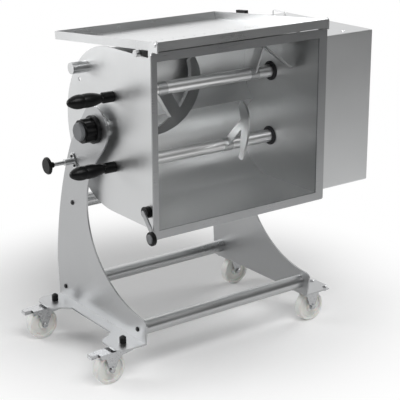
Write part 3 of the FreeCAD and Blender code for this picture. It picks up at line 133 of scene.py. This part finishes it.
for name, spot, aim, wide, high, power in (
        ("soft_box_left", (-2.6, 2.4, 1.8), (-0.2, 0, 0.6), 2.0, 2.0, 62),
        ("soft_box_right", (3.2, 0.2, 1.4), (0.2, 0, 0.7), 1.8, 1.8, 45),
        ("soft_box_top", (-0.4, -2.2, 3.2), (0, 0, 0.7), 2.4, 1.6, 79),
        ("soft_box_back", (1.8, 3.4, 2.0), (0, 0, 0.8), 2.4, 1.6, 5)):
    lamp = bpy.data.lights.new(name, "AREA")
    lamp.shape = "RECTANGLE"
    lamp.size = wide
    lamp.size_y = high
    lamp.energy = power
    box = bpy.data.objects.new(name, lamp)
    box.location = spot
    box.rotation_mode = "QUATERNION"
    box.rotation_quaternion = (Vector(aim) - Vector(spot)).to_track_quat("-Z", "Y")
    bpy.context.scene.collection.objects.link(box)


# The two legs of the stand: one curved plate each, cut from 5 mm stainless, with
# its foot bent out as a flange for the castors, and belt-ground to a satin face.
# They are coloured darker than the tub's end plates, as painted shade.
def ground_stainless(name, grain, dark="#C2C3C4", light="#CDCECE", rough=0.36):
    """Belt-ground stainless: a grey metal whose fine scratches blur what it mirrors.

    Grain gives the scratches' size in mm along X, Y and Z. Real ones are 0.1 mm
    wide, and are drawn about 1 mm wide so that they show.
    """
    made, tree, shader, place = new_surface(name)
    stretch = add(tree, "ShaderNodeMapping", {"Vector": place, "Scale": [1000 / g for g in grain]})
    scratch = add(tree, "ShaderNodeTexNoise", {"Vector": stretch.outputs[0], "Scale": 1, "Detail": 4,
                                               "Roughness": 0.6})
    cloud = add(tree, "ShaderNodeTexNoise", {"Vector": place, "Scale": 1000 / 140, "Detail": 2})
    two_tones(tree, shader, scratch.outputs["Fac"], dark, light)
    both = add(tree, "ShaderNodeMath", {0: scratch.outputs["Fac"], 1: cloud.outputs["Fac"]}, operation="ADD")
    two_blurs(tree, shader, both.outputs[0], (0.6, 1.4), (rough - 0.06, rough + 0.08))
    dent = add(tree, "ShaderNodeBump", {"Height": scratch.outputs["Fac"], "Strength": 0.12, "Distance": 0.0002})
    tree.links.new(dent.outputs["Normal"], shader.inputs["Normal"])
    shader.inputs["Metallic"].default_value = 1
    return made


def dress(material, *names):
    """Gives CAD nodes their real finish."""
    for name in names:
        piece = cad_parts[name]
        piece.data.materials.clear()
        piece.data.materials.append(material)


upright_grain = ground_stainless("ground_stainless_upright", (1.0, 1.0, 60))
# The legs' darker tones are painted shade.
dress(ground_stainless("ground_stainless_legs_painted_shade", (1.0, 1.0, 60), "#A6A7A8", "#B4B5B6"), "leg_left", "leg_right")

# The three cross tubes: 42.4 mm stainless tube, ground round as it turned, so
# that the scratches run round it, screwed to plugs welded in at their ends.
# Their darker tones are painted shade.
tube_grain = ground_stainless("ground_stainless_tube_painted_shade", (1.0, 25, 25), "#ABACAD", "#B9BABA", 0.3)
dress(tube_grain, "cross_tubes", "tube_plugs")

# Black-oxide socket screws through the leg plates into the tube plugs: steel
# turned black in a hot bath and oiled, which leaves a dull black with a sheen.
black_oxide, tree, shader, place = new_surface("black_oxide_steel")
mottle = add(tree, "ShaderNodeTexNoise", {"Vector": place, "Scale": 1000 / 2, "Detail": 3})
two_tones(tree, shader, mottle.outputs["Fac"], "#161617", "#2B2B2D")
shader.inputs["Metallic"].default_value = 0.6
shader.inputs["Roughness"].default_value = 0.42
dress(black_oxide, "leg_screws")


# The pivot bushes in the heads of the legs: turned from black acetal, a smooth
# waxy plastic on which the trunnions of the tub turn without oil.
def moulded_plastic(name, dark, light, rough, grit, depth, sheen=0.5):
    """Moulded or turned plastic: even colour, with the fine grit of its mould, which breaks up its sheen.

    Grit is its size and depth its height in mm. Sheen is how strongly it mirrors, 0.5 for bare plastic.
    """
    made, tree, shader, place = new_surface(name)
    grain = add(tree, "ShaderNodeTexNoise", {"Vector": place, "Scale": 1000 / grit, "Detail": 2})
    cloud = add(tree, "ShaderNodeTexNoise", {"Vector": place, "Scale": 1000 / 45, "Detail": 2})
    two_tones(tree, shader, cloud.outputs["Fac"], dark, light)
    two_blurs(tree, shader, grain.outputs["Fac"], (0.3, 0.7), (rough - 0.05, rough + 0.07))
    dent = add(tree, "ShaderNodeBump", {"Height": grain.outputs["Fac"], "Strength": 0.3, "Distance": depth / 1000})
    tree.links.new(dent.outputs["Normal"], shader.inputs["Normal"])
    shader.inputs["IOR"].default_value = 1.49
    shader.inputs["Specular IOR Level"].default_value = sheen
    return made


black_acetal = moulded_plastic("black_acetal", "#0E0E0F", "#151516", 0.38, 1.5, 0.05, 0.25)
dress(black_acetal, "pivot_bush_left", "pivot_bush_right")

# The castors: forks and heads pressed from 3 mm stainless, pedals from 2.5 mm, all
# tumbled bright, with white nylon wheels that run on plain bores.
pressed_stainless, tree, shader, place = new_surface("tumbled_stainless")
speck = add(tree, "ShaderNodeTexNoise", {"Vector": place, "Scale": 1000 / 6, "Detail": 4, "Roughness": 0.6})
two_tones(tree, shader, speck.outputs["Fac"], "#A2A3A5", "#C6C7C8")
two_blurs(tree, shader, speck.outputs["Fac"], (0.3, 0.7), (0.22, 0.38))
shader.inputs["Metallic"].default_value = 1
dress(pressed_stainless, "fixed_forks", "fork_front", "fork_rear", "swivel_heads", "brake_pedal_front",
      "brake_pedal_rear", "castor_plate_bolts")

castor_plastic = moulded_plastic("black_castor_cap", "#121213", "#1A1A1B", 0.45, 1.5, 0.05, 0.25)
dress(castor_plastic, "castor_caps")

white_nylon = moulded_plastic("white_nylon", "#DEDEDA", "#ECECE8", 0.34, 2.0, 0.06)
white_nylon.node_tree.nodes["Principled BSDF"].inputs["Subsurface Weight"].default_value = 0.15
white_nylon.node_tree.nodes["Principled BSDF"].inputs["Subsurface Scale"].default_value = 0.004
dress(white_nylon, "wheel_left_front", "wheel_left_rear", "wheel_right_front", "wheel_right_rear")

# The tub: two end plates of 3 mm stainless with a bent sheet between them, welded
# and pickled inside, with a ground rim round its mouth, studs and trunnions. The
# inside is coloured paler than the other stainless, as painted light, and the rim
# darker, as painted shade.
# The rim's darker tones are painted shade.
rim_grain = ground_stainless("ground_stainless_rim_painted_shade", (60, 1.0, 1.0), "#949596", "#A2A3A4", 0.3)
dress(rim_grain, "mouth_rim")
# The paler tones inside the tub are painted light.
dress(ground_stainless("pickled_stainless_trough_painted_light", (60, 1.0, 1.0), "#E2E3E3", "#EDEEEE", 0.34), "trough")
dress(upright_grain, "end_plate_left", "end_plate_right")


def turned_stainless(name, dark="#C2C3C4", light="#D2D3D3", rough=0.3):
    """Stainless turned in a lathe: bright, with fine rings round its axis along X, drawn 0.8 mm apart to show."""
    made, tree, shader, place = new_surface(name)
    stretch = add(tree, "ShaderNodeMapping", {"Vector": place, "Scale": (1000 / 0.8, 1000 / 40, 1000 / 40)})
    ring = add(tree, "ShaderNodeTexNoise", {"Vector": stretch.outputs[0], "Scale": 1, "Detail": 2})
    two_tones(tree, shader, ring.outputs["Fac"], dark, light)
    two_blurs(tree, shader, ring.outputs["Fac"], (0.3, 0.7), (rough - 0.02, rough + 0.02))
    shader.inputs["Metallic"].default_value = 1
    return made


turned = turned_stainless("turned_stainless")
dress(turned, "trunnions", "studs", "tub_spacers")

# The lid: a shallow pan of 2 mm stainless with folded sides and a wire handle,
# hinged on pins in the ears at the top corners of the tub.
lid_grain = ground_stainless("ground_stainless_lid", (60, 1.0, 1.0), rough=0.3)
dress(lid_grain, "lid_pan")
dress(upright_grain, "lid_hinges")
dress(turned, "lid_handle", "lid_screws")
dress(black_acetal, "interlock")

# The drive: a folded stainless hood on a flanged frame, over a geared motor, a
# pinion and the two big gears that turn the shafts against each other.
dress(upright_grain, "drive_frame", "motor_hood")
dress(turned, "hood_screws", "wire_loop")
dress(black_acetal, "cord_gland")

gear_steel, tree, shader, place = new_surface("oiled_gear_steel")
oil = add(tree, "ShaderNodeTexNoise", {"Vector": place, "Scale": 1000 / 12, "Detail": 3})
two_tones(tree, shader, oil.outputs["Fac"], "#6A6A6C", "#8B8B8D")
two_blurs(tree, shader, oil.outputs["Fac"], (0, 1), (0.2, 0.45))
shader.inputs["Metallic"].default_value = 1
dress(gear_steel, "upper_gear", "lower_gear", "motor_pinion")

bronze, tree, shader, place = new_surface("cast_bearing_bronze")
pore = add(tree, "ShaderNodeTexNoise", {"Vector": place, "Scale": 1000 / 1.5, "Detail": 2})
two_tones(tree, shader, pore.outputs["Fac"], "#9C7A45", "#B8935A")
shader.inputs["Metallic"].default_value = 1
shader.inputs["Roughness"].default_value = 0.35
dress(bronze, "shaft_bearings")

enamel, tree, shader, place = new_surface("sprayed_enamel")
peel = add(tree, "ShaderNodeTexNoise", {"Vector": place, "Scale": 1000 / 1.2, "Detail": 1})
dent = add(tree, "ShaderNodeBump", {"Height": peel.outputs["Fac"], "Strength": 0.2, "Distance": 0.0001})
two_tones(tree, shader, peel.outputs["Fac"], "#50555B", "#585D63")
tree.links.new(dent.outputs["Normal"], shader.inputs["Normal"])
shader.inputs["Roughness"].default_value = 0.4
dress(enamel, "gearmotor")

# The paddles and their shafts: two turned stainless shafts, each with two crescent
# blades, cut from round plate with their arms, welded to sleeves and glass-blasted.
# The shafts are coloured near white, a painted highlight.
dress(turned_stainless("polished_shaft_painted_highlight", "#EAEAEA", "#F0F0F0", 0.34), "upper_shaft", "lower_shaft")
blasted, tree, shader, place = new_surface("blasted_stainless")
bead = add(tree, "ShaderNodeTexNoise", {"Vector": place, "Scale": 1000 / 1.2, "Detail": 2})
cloud = add(tree, "ShaderNodeTexNoise", {"Vector": place, "Scale": 1000 / 60, "Detail": 3})
two_tones(tree, shader, cloud.outputs["Fac"], "#B9BABB", "#CDCECE")
two_blurs(tree, shader, cloud.outputs["Fac"], (0.3, 0.7), (0.3, 0.42))
dent = add(tree, "ShaderNodeBump", {"Height": bead.outputs["Fac"], "Strength": 0.2, "Distance": 0.0001})
tree.links.new(dent.outputs["Normal"], shader.inputs["Normal"])
shader.inputs["Metallic"].default_value = 1
dress(blasted, "upper_paddles", "lower_paddles")

# The lip seals round the shafts where they leave the tub: black nitrile rubber,
# moulded, dull and a little dusty.
dress(moulded_plastic("black_nitrile", "#17171A", "#202023", 0.62, 1.2, 0.05), "shaft_seals")

# The pulls, knobs and handle ends: black glass-filled nylon, moulded with a fine
# spark-eroded grain, over turned pins; two have a pressed-in grey cap.
black_nylon = moulded_plastic("black_grained_nylon", "#060606", "#0B0B0C", 0.34, 1.2, 0.08, 0.2)
dress(black_nylon, "clamp_knob", "plunger_knob", "handle_ends", "pull_collars", "pull_grip_upper", "pull_grip_lower")
dress(moulded_plastic("grey_nylon_cap", "#66686A", "#707274", 0.45, 1.2, 0.05), "clamp_cap", "handle_cap")
dress(turned, "plunger_body", "plunger_pin", "pull_pin_upper", "pull_pin_lower")
# The handle arm takes the rim's darker tones, painted shade.
dress(rim_grain, "handle_arm")
